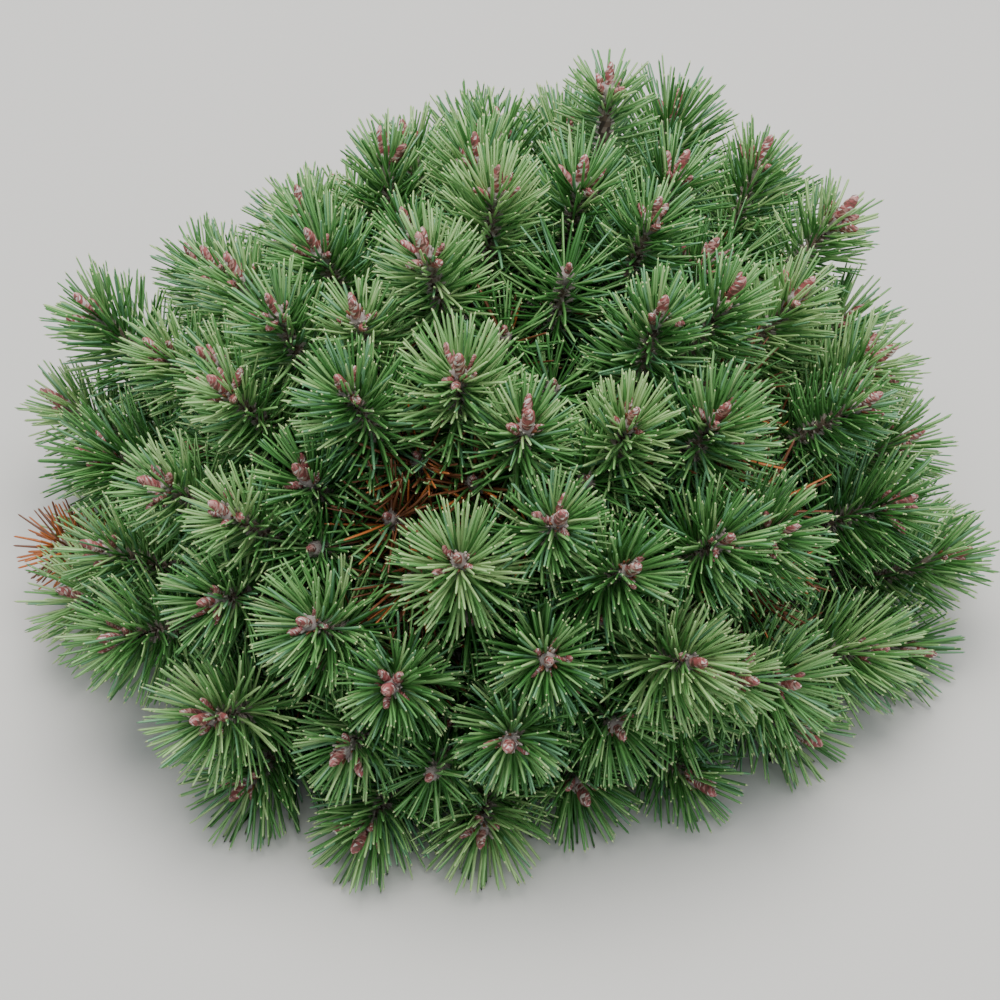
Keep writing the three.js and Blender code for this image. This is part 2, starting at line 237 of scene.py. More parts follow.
class Mass:
    """One mass of foliage, with its way from the heart, its sector and its shoots."""

    def __init__(self, name, azimuth, elevation, reach):
        self.name = name
        self.azimuth = azimuth
        self.elevation = elevation
        self.reach = reach
        self.way = direction(azimuth, elevation)
        self.sector = nearest_sector(azimuth)
        self.shoots = []

    def along(self, distance):
        return HEART + self.way * distance


masses = [Mass(*row) for row in MASSES]
hollow_ways = np.array([direction(*hollow) for hollow in HOLLOWS])


def crown_reach(way):
    """How far the crown reaches from its heart along a way."""
    sizes = np.array([CROWN["half_width"], CROWN["half_depth"], CROWN["rise"]])
    return (1 + CROWN["tuck"] * min(0, way[2])) / np.linalg.norm(way / sizes)


def nearest_mass(way):
    return max(masses, key=lambda mass: mass.way @ way)


def nearest_hollow(way):
    """How far a way is from the nearest hollow, in widths of that hollow, and how brown it is."""
    away = np.arccos(np.minimum(hollow_ways @ way, 1)) / HOLLOW_WIDTHS
    return away.min(), HOLLOW_BROWN[int(away.argmin())]


def start_ways(count, turn, lowest):
    """Ways from the heart in one spiral, from the lowest height up to the top."""
    heights = lerp(lowest, 1, (np.arange(count) + 0.5) / count)
    elevations = [math.degrees(math.asin(height)) for height in heights]
    return np.array([direction(k * turn, elevation) for k, elevation in enumerate(elevations)])


def relax(ways, moving, fixed, apart, rounds):
    """Pushes ways apart, and from the fixed ones, until they stand evenly.

    `moving` is 0 for each way that stays and 1 for the others. `apart` has the spacing that is
    kept from each of the ways and of the fixed ones.
    """
    itself = np.arange(len(ways))
    for _ in range(rounds):
        others = np.concatenate([ways, fixed])
        away = ways[:, None, :] - others[None, :, :]
        distance = np.linalg.norm(away, axis=-1)
        distance[itself, itself] = FAR
        push = np.maximum(apart - distance, 0) * PUSH / distance
        ways = ways + (away * push[..., None]).sum(axis=1) * moving[:, None]
        ways[:, 2] = np.maximum(ways[:, 2], SHOOT["lowest"])
        ways = unit(ways)
    return ways


def main_ways():
    """The tips' ways from the heart, their masses, and which of them lead a mass."""
    ways = start_ways(SHOOT["count"], SHOOT["turn"], SHOOT["lowest"])
    numbers = np.arange(len(ways))
    ways[:, 0] += swing(numbers, Draw.SCATTER_X) * SHOOT["scatter"]
    ways[:, 1] += swing(numbers, Draw.SCATTER_Y) * SHOOT["scatter"]
    ways = unit(ways)
    moving = np.ones(len(ways))
    for mass in masses:
        nearest = int(np.argmax(ways @ mass.way - FAR * (1 - moving)))
        ways[nearest] = mass.way
        moving[nearest] = 0
    apart = np.array([SHOOT["apart"]] * len(ways) + [SHOOT["hollow"]] * len(hollow_ways))
    ways = relax(ways, moving, hollow_ways, apart, SHOOT["rounds"])
    return ways, [nearest_mass(way) for way in ways], moving == 0


def on_own_side(foot, way, foreign):
    """Moves a shoot's foot until it is clear of the planes towards the foreign ways."""
    for side in unit(way - foreign):
        inside = side @ (foot - HEART) - 2 * CORE_RADIUS
        if inside < 0:
            foot = foot - side * inside
    return foot


class Shoot:
    """A shoot with needles: its foot, its axis, the length with needles and its number."""

    def __init__(self, mass, way, number, tip, length, bud, foreign):
        """`foreign` has the ways of the other masses' shoots, which the foot keeps off."""
        self.mass = mass
        self.way = way
        self.number = number
        stray = np.array([swing(number, Draw.TILT_X), swing(number, Draw.TILT_Y), 0.0])
        axis = unit(way + stray * SHOOT["tilt"] + UP * SHOOT["upwards"])
        foot = tip - axis * (length + bud)
        foot[2] = max(foot[2], SHOOT["ground"])
        self.foot = on_own_side(foot, way, foreign)
        self.axis = unit(tip - self.foot)
        self.length = np.linalg.norm(tip - self.foot) - bud
        self.vigour = 1 + swing(number, Draw.VIGOUR) * SHOOT["vigour"]
        self.start = None  # where its twig begins
        self.set_back = False
        self.stands_out = False
        self.dead = False
        self.browned = 0  # the share of brown among its needles

    @property
    def neck(self):
        return self.foot + self.axis * self.length


def foreign_to(mass, ways, homes):
    return np.array([way for way, home in zip(ways, homes) if home is not mass])


def start_twigs(mass):
    """The shoot nearest to a mass's way goes on from its stem, and the others fork off it."""
    mass.shoots.sort(key=lambda shoot: -(shoot.axis @ mass.way))
    for k, shoot in enumerate(mass.shoots):
        forked = STEM["fork"] + k * STEM["step"]
        shoot.start = mass.along(STEM["end"] - STEM["sunk"] if k == 0 else forked)


def main_shoots():
    ways, homes, leading = main_ways()
    shoots = []
    for number, (way, mass, leads) in enumerate(zip(ways, homes, leading)):
        stands_out = leads and mass.name == "leader"
        dip = SHOOT["dip"] if not leads and chance(number, Draw.DIP) < SHOOT["dipped"] else 0
        uneven = swing(number, Draw.UNEVEN) * SHOOT["uneven"]
        raised = SHOOT["leader"] if stands_out else uneven - dip
        tip = HEART + way * (crown_reach(way) * mass.reach + raised)
        spread = swing(number, Draw.LENGTH) * SHOOT["length_spread"]
        length = SHOOT["length"] + (SHOOT["leader"] if stands_out else spread)
        foreign = foreign_to(mass, ways, homes)
        shoot = Shoot(mass, way, number, tip, length, SHOOT["bud"], foreign)
        shoot.set_back = dip > 0
        shoot.stands_out = stands_out
        shoots.append(shoot)
        mass.shoots.append(shoot)
    for mass in masses:
        start_twigs(mass)
    return shoots


def side_places(fixed):
    """Each side shoot's way, its depth below the crown, and whether it is dead."""
    count = SIDE_SHOOT["count"]
    ways = start_ways(count, SIDE_SHOOT["turn"], SIDE_SHOOT["lowest"])
    ways = relax(ways, np.ones(count), fixed, SIDE_SHOOT["apart"], SIDE_SHOOT["rounds"])
    chances = chance(SIDE_NUMBERS + np.arange(count), Draw.DEPTH)
    depths = lerp(SIDE_SHOOT["shallow"], SIDE_SHOOT["deep"], chances)
    living = [(way, depth, False) for way, depth in zip(ways, depths)]
    dead = (direction(*DEAD_WAY), DEAD_DEPTH, True)
    filling = (direction(*FILLING_WAY), FILLING_DEPTH, False)
    return [*living, dead, filling]


def side_shoots(mains):
    """Side shoots fill the room between the main ones, lower down, off the same twigs."""
    fixed = np.array([shoot.way for shoot in mains])
    homes = [shoot.mass for shoot in mains]
    length, bud = SIDE_SHOOT["length"], SIDE_SHOOT["bud"]
    shoots = []
    for number, (way, depth, dead) in enumerate(side_places(fixed), SIDE_NUMBERS):
        away, browned = nearest_hollow(way)
        sunken = away < 1 and not dead
        depth = SIDE_SHOOT["sunken"] if sunken else depth
        mass = nearest_mass(way)
        tip = HEART + way * (crown_reach(way) * mass.reach - depth)
        shoot = Shoot(mass, way, number, tip, length, bud, foreign_to(mass, fixed, homes))
        beside = max(mass.shoots, key=lambda other: other.way @ way)
        shoot.start = lerp(beside.start, beside.foot, SIDE_SHOOT["leaves"])
        shoot.dead = dead
        if dead:
            shoot.browned = 1
        elif sunken:
            shoot.browned = browned
        shoots.append(shoot)
    return shoots


# ---- Meshes from arrays ----
def triangle_mesh(name, points, faces, tones):
    mesh = bpy.data.meshes.new(name)
    mesh.vertices.add(len(points))
    mesh.vertices.foreach_set("co", points.ravel())
    mesh.loops.add(faces.size)
    mesh.loops.foreach_set("vertex_index", faces.ravel())
    mesh.polygons.add(len(faces))
    mesh.polygons.foreach_set("loop_start", np.arange(0, faces.size, 3, dtype=np.int32))
    mesh.polygons.foreach_set("material_index", tones)
    mesh.update(calc_edges=True)
    mesh.validate()
    return mesh


class Heap:
    """Gathers points and triangles, each triangle with the number of its material."""

    def __init__(self):
        self.points = []
        self.faces = []
        self.tones = []
        self.count = 0

    def add(self, points, faces, tones):
        self.points.append(points)
        self.faces.append(faces + self.count)
        self.tones.append(tones)
        self.count += len(points)

    def piece(self, name, materials, slot, nodes, smooth=True):
        """Makes the heap a piece, which stands for some nodes of the frame."""
        points = np.concatenate(self.points).astype(np.float32) * MM
        faces = np.concatenate(self.faces).astype(np.int32)
        tones = np.concatenate(self.tones).astype(np.int32)
        mesh = triangle_mesh(name, points, faces, tones)
        if smooth:
            mesh.shade_smooth()
        for material in materials:
            mesh.materials.append(material)
        piece = bpy.data.objects.new(name, mesh)
        bpy.context.scene.collection.objects.link(piece)
        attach(piece, "root")
        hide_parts(*nodes)


def tube_faces(rings, sides):
    """The triangles of a closed tube: its skin, and a fan on each end."""
    k, i = np.meshgrid(np.arange(rings - 1), np.arange(sides), indexing="ij")
    a = (k * sides + i).ravel()
    b = (k * sides + (i + 1) % sides).ravel()
    skin = np.stack([np.stack([a, b, b + sides], -1), np.stack([a, b + sides, a + sides], -1)], 1)
    i = np.arange(1, sides - 1)
    last = (rings - 1) * sides
    foot = np.stack([np.zeros_like(i), i + 1, i], -1)
    top = np.stack([np.full_like(i, last), last + i, last + i + 1], -1)
    return np.concatenate([skin.reshape(-1, 3), foot, top])


def tube(heap, path, radii, sides, tone_of, twist=0.0):
    """A tube along a path, whose rings each turn by `twist` from the one before.

    `radii` has a row for each ring and a column for each side. `tone_of` gives the tones of all
    faces from the numbers of faces, rings and sides.
    """
    tangents = unit(np.gradient(path, axis=0))
    side, _ = across(tangents[0])
    rows = []
    for k, (centre, tangent) in enumerate(zip(path, tangents)):
        side = unit(side - tangent * (side @ tangent))
        up = np.cross(tangent, side)
        turn = 2 * math.pi * np.arange(sides) / sides + twist * k
        ring = np.cos(turn)[:, None] * side + np.sin(turn)[:, None] * up
        rows.append(centre + ring * radii[k][:, None])
    faces = tube_faces(len(path), sides)
    heap.add(np.concatenate(rows), faces, tone_of(len(faces), len(path), sides))


# ---- Colours ----
# The sRGB colours of each kind of piece. A tone is a place in one of these tables.
COLOURS = {
    "needle": {
        "bright": (160, 194, 128),
        "fresh": (126, 172, 104),
        "mid": (92, 146, 78),
        "deep": (60, 112, 52),
        "bluish": (108, 158, 116),
        "tip": (182, 200, 140),
        "brown": (116, 70, 46),
        "rust": (188, 108, 58),
        "sheath": (172, 162, 154),
    },
    "bud": {
        "red": (154, 80, 82),
        "pink": (188, 136, 132),
        "brown": (116, 76, 70),
        "resin": (214, 200, 196),
    },
    "twig": {
        "brown": (98, 82, 68),
        "grey": (128, 114, 102),
        "dark": (62, 50, 42),
        "neck": (152, 140, 136),
    },
}
DEEP, TIP, BROWN, RUST, SHEATH = 3, 5, 6, 7, 8
INNER_OWN_AND_SHADE_TONES = np.array([1, 2, 3, 3, 3, 5, 6, 7, 8])  # of a needle's inner half, by its tone: greens a tone darker, partly their own colour and partly painted shade near the twig
NECK_TONE = 3

# Shares of each tone of bud and of twig.
BUD_SHARES = [0.36, 0.27, 0.24, 0.13]
TWIG_SHARES = [0.42, 0.36, 0.22]

# Shares of bright, fresh, mid, deep and bluish green.
FRESH_SHARES = [
    [0.48, 0.38, 0.08, 0.02, 0.04],
    [0.30, 0.42, 0.18, 0.03, 0.07],
    [0.18, 0.38, 0.26, 0.06, 0.12],
    [0.08, 0.30, 0.34, 0.12, 0.16],
]
# Painted shade: darker greens for main shoots that are set back or stand in shade.
PAINTED_SHADE_SHARES = [0.03, 0.22, 0.38, 0.23, 0.14]
# Painted shade: darker greens for side shoots, which stand deep inside the crown.
SIDE_SHADE_SHARES = [0.02, 0.16, 0.38, 0.32, 0.12]
OLD_SHARES = [0.0, 0.06, 0.32, 0.54, 0.08]

OLD_BROWN = 0.06  # share of brown among the old needles away from the hollows
# Shares of rust among the brown needles of a dead shoot, a side shoot and an old twig.
DEAD_RUSTY, SIDE_RUSTY, OLD_RUSTY = 0.7, 0.15, 0.3
DEEPER_AT_FOOT = 0.55  # painted shade: share of a main shoot's lowest needles that are a tone darker
TWO_TONED = 0.5  # share of needles whose inner half is darker than the outer one, partly own colour and partly painted shade
PALE_TIPS = 0.55  # share of green needles with a pale tip

# ---- Needles ----
NEEDLE = {
    "length": 38.5,
    "spread": 5,
    "width": 1.85,
    "thickness": 0.8,  # as a share of the width
    "ground": 2.0,  # the lowest that a needle comes
    "pairs": 2.12,  # for each millimetre of a main shoot
    "side_pairs": 1.4,
    "old_pairs": 0.7,
}
BLADE = 3  # the sides of a needle
BLADE_TURN = math.pi / 6  # so that one flat side faces the tip of the twig
BAND = 2 * BLADE  # the faces between two rings of a needle
SHEATH_END, TIP_START = 0.13, 0.96  # shares of the needle's length
MIDDLE = (0.36, 0.24)  # where the inner half ends: at the least, and how much further on
RING_WIDTHS = [0.9, 0.88, 1.0, 0.7]
RINGS = len(RING_WIDTHS)


class Needles(NamedTuple):
    """Many needles. Each field has one row for each of them."""

    base: np.ndarray
    way: np.ndarray
    axis: np.ndarray  # of the twig
    length: np.ndarray
    width: np.ndarray
    curve: np.ndarray  # how far the tip bends off the way, as a share of the length
    roll: np.ndarray  # the turn round its own way, in radians
    tones: np.ndarray
    tips: np.ndarray  # the tones of the tips

    def only(self, kept):
        return Needles(*(rows[kept] for rows in self))


def needle_faces():
    """A band each of the sheath and both halves, and three faces of the tip. The foot is open."""
    top = BLADE * (RINGS - 1)
    rows = []
    for low in range(0, top, BLADE):
        for i in range(BLADE):
            a, b = low + i, low + (i + 1) % BLADE
            rows += [(a, b, b + BLADE), (a, b + BLADE, a + BLADE)]
    rows += [(top + i, top + (i + 1) % BLADE, top + BLADE) for i in range(BLADE)]
    return np.array(rows)


NEEDLE_FACES = needle_faces()


def needle_points(needles):
    """Rings of points along each needle, and the point of its tip."""
    tangent = unit(np.cross(needles.axis, needles.way))
    normal = np.cross(needles.way, tangent)
    cos, sin = np.cos(needles.roll)[:, None], np.sin(needles.roll)[:, None]
    across_it = tangent * cos + normal * sin
    over_it = normal * cos - tangent * sin
    count = len(needles.base)
    length = needles.length[:, None]
    middle = vary(MIDDLE, np.arange(count), Draw.MIDDLE)[:, None]
    points = np.zeros((count, BLADE * RINGS + 1, 3))
    for k, (t, wide) in enumerate(zip((0.0, SHEATH_END, middle, TIP_START), RING_WIDTHS)):
        centre = needles.base + (needles.way * t + needles.curve * t * t) * length
        for i in range(BLADE):
            turn = 2 * math.pi * (i / BLADE) + BLADE_TURN
            x = math.cos(turn) * needles.width * wide / 2
            y = math.sin(turn) * needles.width * wide / 2 * NEEDLE["thickness"]
            points[:, BLADE * k + i] = centre + across_it * x[:, None] + over_it * y[:, None]
    points[:, -1] = needles.base + (needles.way + needles.curve) * length
    points[..., 2] = np.maximum(points[..., 2], NEEDLE["ground"])
    return points


def needle_tones(needles):
    """The tone of every face: the sheath's, the inner half's, the outer half's and the tip's."""
    two_toned_and_shaded = chance(np.arange(len(needles.base)), Draw.TWO_TONED) < TWO_TONED
    # Partly painted shade: the inner half of some needles is a tone darker near the twig.
    inner = np.where(two_toned_and_shaded, INNER_OWN_AND_SHADE_TONES[needles.tones], needles.tones)
    tones = np.repeat(needles.tones[:, None], len(NEEDLE_FACES), axis=1)
    tones[:, :BAND] = SHEATH
    tones[:, BAND : 2 * BAND] = inner[:, None]
    tones[:, -BLADE:] = needles.tips[:, None]
    return tones


def add_needles(heap, needles):
    """Every needle is a three-sided blade out of a sheath, with a bend and a blunt tip.

    Its foot is sunk in the twig.
    """
    points = needle_points(needles)
    first = points.shape[1] * np.arange(len(points))
    faces = NEEDLE_FACES[None] + first[:, None, None]
    heap.add(points.reshape(-1, 3), faces.reshape(-1, 3), needle_tones(needles).ravel())


# ---- Sprays of needles ----
WHOLE = np.zeros(3)
PARTED = np.array([0.0, -1.0, 0.3])  # the side where the leader's twig shows between its needles
PARTED_FROM = 0.4  # how far to that side a needle stands when it is left out
PARTED_UP_TO = 0.84  # the share of the twig that is parted


class Style(NamedTuple):
    """How the needles of a stretch of twig stand, and how they get their tones."""

    lean_foot: float  # from the twig's axis in degrees, at the foot of the stretch
    lean_tip: float
    opening: float  # how late along the stretch the one lean turns into the other
    size: float
    tones: Callable
    bare: float = 0  # the length without needles at the tip of the stretch
    parted: np.ndarray = WHOLE  # a side without needles


# How far needles lean in degrees: the mean of all main shoots and how much these differ.
MAIN_LEAN_FOOT, MAIN_FOOT_SPREAD = 76, 10
MAIN_LEAN_TIP, MAIN_TIP_SPREAD = 32, 14
MAIN_STAND = {"opening": 1.3, "bare": 2.5}
LEADER_STAND = {"lean_foot": 88, "lean_tip": 50, "opening": 2.4, "size": 0.76, "parted": PARTED}
SIDE_STAND = {"lean_foot": 84, "lean_tip": 44, "opening": 1.2}
OLD_STAND = {"lean_foot": 88, "lean_tip": 70, "opening": 1.0, "size": 0.94}
SIDE_SIZE, DEAD_SIZE = 0.92, 0.66
TOP_SMALLER = 0.12  # how much shorter the needles are at the top of the crown
SHADED = (55, 58, 63, 66)  # numbers of the main shoots that stand in shade, with darker greens as painted shade
SHADED_SIZE = 0.92
SUNLIT = (84, 86)  # numbers of the main shoots in full light, with the brightest greens as painted light
SPRAY = {
    "most": 1024,  # more than the needles of any spray
    "uneven": 0.6,  # how unevenly pairs stand along the twig, in steps from pair to pair
    "pair_turn": 0.1,  # how far round the twig each of a pair is from its middle, in radians
    "turn": 0.3,  # the spread of that
    "pair_lean": 3,  # the same for the lean, in degrees
    "lean": 26,
    "stray_lean": 60,  # the spread for those that stray
    "strays": 0.06,  # the share that stray
    "sideways": 0.24,
    "skin": 1.8,  # from the twig's axis to a needle's foot
    "shorter": 0.22,  # how much shorter a needle is next to the buds
    "width": (0.88, 0.24),  # as a share of the usual one: the least, and how much more
    "bend": 0.1,  # how far a needle bends towards the twig's tip, as a share of its length
    "bend_spread": 0.16,
    "bend_chance": 0.4,  # the chance that gives just this bend
    "curl": 0.24,  # the spread of the bend to either side
    "roll": 1.6,  # the spread of its turn, in radians
}


def needle_leans(i, share, which, style):
    """How far each needle leans from the twig, in radians."""
    lean = lerp(style.lean_foot, style.lean_tip, share**style.opening)
    strays = chance(i, Draw.STRAY) < SPRAY["strays"]
    spread = np.where(strays, SPRAY["stray_lean"], SPRAY["lean"])
    return np.radians(lean + swing(i, Draw.LEAN) * spread + which * SPRAY["pair_lean"])


def needle_curves(i, axis, beside):
    """How far each needle's tip bends towards the tip of the twig and to a side."""
    bend = SPRAY["bend"] + SPRAY["bend_spread"] * (chance(i, Draw.BEND) - SPRAY["bend_chance"])
    curl = swing(i, Draw.CURL) * SPRAY["curl"]
    return axis * bend[:, None] + beside * curl[:, None]


def spray(heap, foot, axis, length, pairs, seed, style):
    """Pairs of needles in a spiral round a stretch of twig."""
    pair = np.repeat(np.arange(pairs), 2)
    which = np.tile([-1.0, 1.0], pairs)
    i = seed * SPRAY["most"] + np.arange(2 * pairs)
    share = (pair + 0.5 + swing(i, Draw.ALONG) * SPRAY["uneven"]) / pairs
    turn = pair * SPIRAL + which * SPRAY["pair_turn"] + swing(i, Draw.TURN) * SPRAY["turn"]
    out = around(axis, turn)
    beside = np.cross(axis, out)
    lean = needle_leans(i, share, which, style)
    way = axis * np.cos(lean)[:, None] + out * np.sin(lean)[:, None]
    way = unit(way + swing(i, Draw.SIDEWAYS)[:, None] * SPRAY["sideways"] * beside)
    base = foot + axis * (share * (length - style.bare))[:, None] + out * SPRAY["skin"]
    run = NEEDLE["length"] + swing(i, Draw.RUN) * NEEDLE["spread"]
    run = run * style.size * (1 - SPRAY["shorter"] * share**3)
    width = NEEDLE["width"] * vary(SPRAY["width"], i, Draw.WIDTH)
    curve = needle_curves(i, axis, beside)
    roll = swing(i, Draw.ROLL) * SPRAY["roll"]
    tones = style.tones(i, share)
    tips = np.where((tones < TIP) & (chance(i, Draw.PALE_TIP) < PALE_TIPS), TIP, tones)
    axes = np.broadcast_to(axis, base.shape)
    needles = Needles(base, way, axes, run, width, curve, roll, tones, tips)
    kept = (share > PARTED_UP_TO) | (out @ style.parted < PARTED_FROM)
    add_needles(heap, needles.only(kept))


def main_shares(shoot):
    """The shares of green among a main shoot's needles: darker as painted shade where it is set
    back or shaded, brightest as painted light where it is sunlit.
    """
    # Painted shade: set-back and shaded shoots take the darker greens.
    if shoot.set_back or shoot.number in SHADED:
        return PAINTED_SHADE_SHARES
    # Painted light: shoots in full light take the brightest greens.
    if shoot.number in SUNLIT:
        return FRESH_SHARES[0]
    return FRESH_SHARES[int(chance(shoot.number, Draw.FRESH) * len(FRESH_SHARES))]


def main_style(shoot):
    """Each shoot opens its needles by its own chance, and its lowest are a tone darker as painted
    shade.
    """
    number = shoot.number
    shares = main_shares(shoot)
    smaller = SHADED_SIZE if number in SHADED else 1

    def tones(i, share):
        dealt = deal(shares, i, Draw.TONE)
        # Painted shade: the lowest needles of the shoot are a tone darker.
        shaded_foot = (dealt < DEEP) & (chance(i, Draw.DEEPER) < DEEPER_AT_FOOT * (1 - share))
        return dealt + shaded_foot

    style = Style(
        lean_foot=MAIN_LEAN_FOOT + MAIN_FOOT_SPREAD * swing(number, Draw.LEAN_FOOT),
        lean_tip=MAIN_LEAN_TIP + MAIN_TIP_SPREAD * swing(number, Draw.LEAN_TIP),
        size=shoot.vigour * smaller * (1 - TOP_SMALLER * max(0, shoot.way[2])),
        tones=tones,
        **MAIN_STAND,
    )
    return style._replace(**LEADER_STAND) if shoot.stands_out else style


def partly_brown(shares, browned, rusty):
    """Deals out greens, but browns to the browned share of the needles."""

    def tones(i, _):
        brown = np.where(chance(i, Draw.RUSTY) < rusty, RUST, BROWN)
        return np.where(chance(i, Draw.BROWNED) < browned, brown, deal(shares, i, Draw.TONE))

    return tones


def side_style(shoot):
    rusty, size = (DEAD_RUSTY, DEAD_SIZE) if shoot.dead else (SIDE_RUSTY, SIDE_SIZE)
    # The side shoots' greens are darker as painted shade.
    tones = partly_brown(SIDE_SHADE_SHARES, shoot.browned, rusty)
    return Style(size=size * shoot.vigour, tones=tones, **SIDE_STAND)


def old_style(browned):
    return Style(tones=partly_brown(OLD_SHARES, browned, OLD_RUSTY), **OLD_STAND)


# ---- Buds ----
BUD_PROFILE = np.array([0.62, 0.78, 0.9, 0.97, 1.0, 1.0, 0.95, 0.86, 0.68, 0.3])
BUD_SIDES = 9
BUD_LIFT = 0.3  # how unevenly its scales stand off it
BUD_CELLS, BUD_FACES = 128, 256  # more than the points and the faces of any bud
SMALL_BUD = {"length": 8, "radius": 2.0}
# Values in pairs are the least, and how much more they may be.
CLUSTER = {
    "most": 8,  # more than the buds of any cluster
    "size": (0.88, 0.32),
    "length": 15.5,
    "radius": 2.6,
    "ring": (2, 4),  # how many buds stand round the middle one
    "ring_uneven": 0.5,  # in steps from bud to bud
    "ring_lean": (26, 36),
    "ring_size": (0.6, 0.5),
    "ring_length": 13,
    "ring_radius": 2.25,
    "ring_below": 2.5,  # how far below the neck, and off the axis, the ring stands
    "ring_off": 3.0,
}
SCALE = {
    "count": 22,
    "most": 64,  # more than the count
    "below": (-1, 8),  # how far below the neck they stand
    "off": 3.0,  # how far off the axis
    "lean": (0.2, 0.6),
    "length": (3.0, 3.0),
    "width": 2.0,
    "curve": 0.1,
    "pale": 0.65,  # the share of pale ones
}


def add_bud(heap, base, axis, length, radius, seed):
    """A bud of scales: rows of faces that stand half a side on from one another."""
    rings = len(BUD_PROFILE)
    height = np.linspace(0, 1, rings)
    path = base + axis * (height * length)[:, None]
    cell = seed * BUD_CELLS + np.arange(rings)[:, None] * BUD_SIDES + np.arange(BUD_SIDES)
    lifted = 1 + BUD_LIFT * swing(cell, Draw.BUD_LIFT)
    radii = BUD_PROFILE[:, None] * radius * lifted

    def tones(faces, _, __):
        return deal(BUD_SHARES, seed * BUD_FACES + np.arange(faces), Draw.BUD_TONE)

    tube(heap, path, radii, BUD_SIDES, tones, twist=math.pi / BUD_SIDES)


def small_bud(heap, shoot):
    seed = shoot.number * CLUSTER["most"]
    add_bud(heap, shoot.neck, shoot.axis, SMALL_BUD["length"], SMALL_BUD["radius"], seed)


def bud_cluster(heap, shoot):
    """One bud goes on from the shoot, and a ring of shorter ones stands round its foot."""
    number = shoot.number
    first = number * CLUSTER["most"]
    large = vary(CLUSTER["size"], number, Draw.CLUSTER)
    length, radius = CLUSTER["length"] * large, CLUSTER["radius"] * large
    add_bud(heap, shoot.neck, shoot.axis, length, radius, first)
    side, up = across(shoot.axis)
    count = int(vary(CLUSTER["ring"], number, Draw.BUDS))
    for k in range(count):
        i = first + k
        uneven = CLUSTER["ring_uneven"] * chance(i, Draw.BUD_TURN)
        turn = 2 * math.pi * (k + uneven) / count + number
        lean = math.radians(vary(CLUSTER["ring_lean"], i, Draw.BUD_LEAN))
        out = side * math.cos(turn) + up * math.sin(turn)
        axis = shoot.axis * math.cos(lean) + out * math.sin(lean)
        size = large * vary(CLUSTER["ring_size"], i, Draw.BUD_SIZE)
        start = shoot.neck - shoot.axis * CLUSTER["ring_below"] + out * CLUSTER["ring_off"]
        length, radius = CLUSTER["ring_length"] * size, CLUSTER["ring_radius"] * size**0.5
        add_bud(heap, start, axis, length, radius, i + 1)


def add_scales(heap, shoot):
    """The papery scales that stand round the foot of the buds."""
    count = SCALE["count"]
    i = shoot.number * SCALE["most"] + np.arange(count)
    out = around(shoot.axis, np.arange(count) * SPIRAL + chance(i, Draw.SCALE_TURN))
    below = vary(SCALE["below"], i, Draw.SCALE_PLACE)
    base = shoot.neck + out * SCALE["off"] - shoot.axis * below[:, None]
    lean = vary(SCALE["lean"], i, Draw.SCALE_LEAN)
    way = unit(shoot.axis + out * lean[:, None])
    length = vary(SCALE["length"], i, Draw.SCALE_LENGTH)
    tones = np.where(chance(i, Draw.SCALE_TONE) < SCALE["pale"], SHEATH, BROWN)
    axes = np.broadcast_to(shoot.axis, base.shape)
    width = np.full(count, SCALE["width"])
    roll = np.zeros(count)
    curve = axes * SCALE["curve"]
    add_needles(heap, Needles(base, way, axes, length, width, curve, roll, tones, tones))


# ---- Twigs ----
TWIG = {
    "sides": 8,
    "step": 3.2,  # from one ring to the next
    "straight": 12,  # how far it goes straight on before the shoot's foot
    "past": 2,  # how far it goes on into the buds
    "pegs": 0.34,  # how far the pegs of its leaves stand out, as a share of its radius
    "hub": 0.6,  # how much thicker it is where its buds stand
    "hub_spread": 4,
    "neck_rings": 4,  # the last rings, which have the tone of its neck
    "cells": 1024,  # more than its points
    "faces": 4096,  # more than its faces
}
STEM_RINGS, STEM_SIDES = 18, 12
STEM_PEGS = 0.24
STEM_CELLS = 512
STEM_OVERLAP = 2  # how far a stem begins within the bough
PEG_LEVEL = 0.42  # the chance of a point that stands neither out nor in
# Radii at the foot and at the neck, and how much of the twig below the foot has old needles.
MAIN_TWIG = {"foot": 3.1, "neck": 2.8, "old": 42}
SIDE_TWIG = {"foot": 2.6, "neck": 2.2, "old": 20}


def twig_path(shoot):
    """From the fork to the foot in one bend, and straight on to the neck."""
    before = shoot.foot - shoot.axis * TWIG["straight"]
    steps = 2 + int(np.linalg.norm(shoot.foot - shoot.start) / TWIG["step"])
    lower = bezier([shoot.start, before, shoot.foot], steps)
    steps = 2 + int(shoot.length / TWIG["step"])
    along = np.linspace(0, shoot.length + TWIG["past"], steps)[:, None]
    upper = shoot.foot + shoot.axis * along
    return np.concatenate([lower, upper[1:]])


def pegs(rings, sides, first, height, draw):
    """How far each point of a twig stands out, as the pegs of old leaves do."""
    cell = first + np.arange(rings)[:, None] * sides + np.arange(sides)
    return 1 + height * (chance(cell, draw) - PEG_LEVEL)


def add_twig(heap, shoot, foot_radius, neck_radius):
    path = twig_path(shoot)
    rings, sides = len(path), TWIG["sides"]
    from_neck = (rings - 2 - np.arange(rings)) * TWIG["step"]
    hub = 1 + TWIG["hub"] * np.exp(-((from_neck / TWIG["hub_spread"]) ** 2))
    first = shoot.number * TWIG["cells"]
    pegged = pegs(rings, sides, first, TWIG["pegs"], Draw.TWIG_PEG)
    radii = (np.linspace(foot_radius, neck_radius, rings) * hub)[:, None] * pegged

    def tones(faces, _, __):
        pairs = shoot.number * TWIG["faces"] + np.arange(faces) // 2
        dealt = deal(TWIG_SHARES, pairs, Draw.TWIG_TONE)
        dealt[(rings - TWIG["neck_rings"]) * sides * 2 :] = NECK_TONE
        return dealt

    tube(heap, path, radii, sides, tones, twist=math.pi / sides)


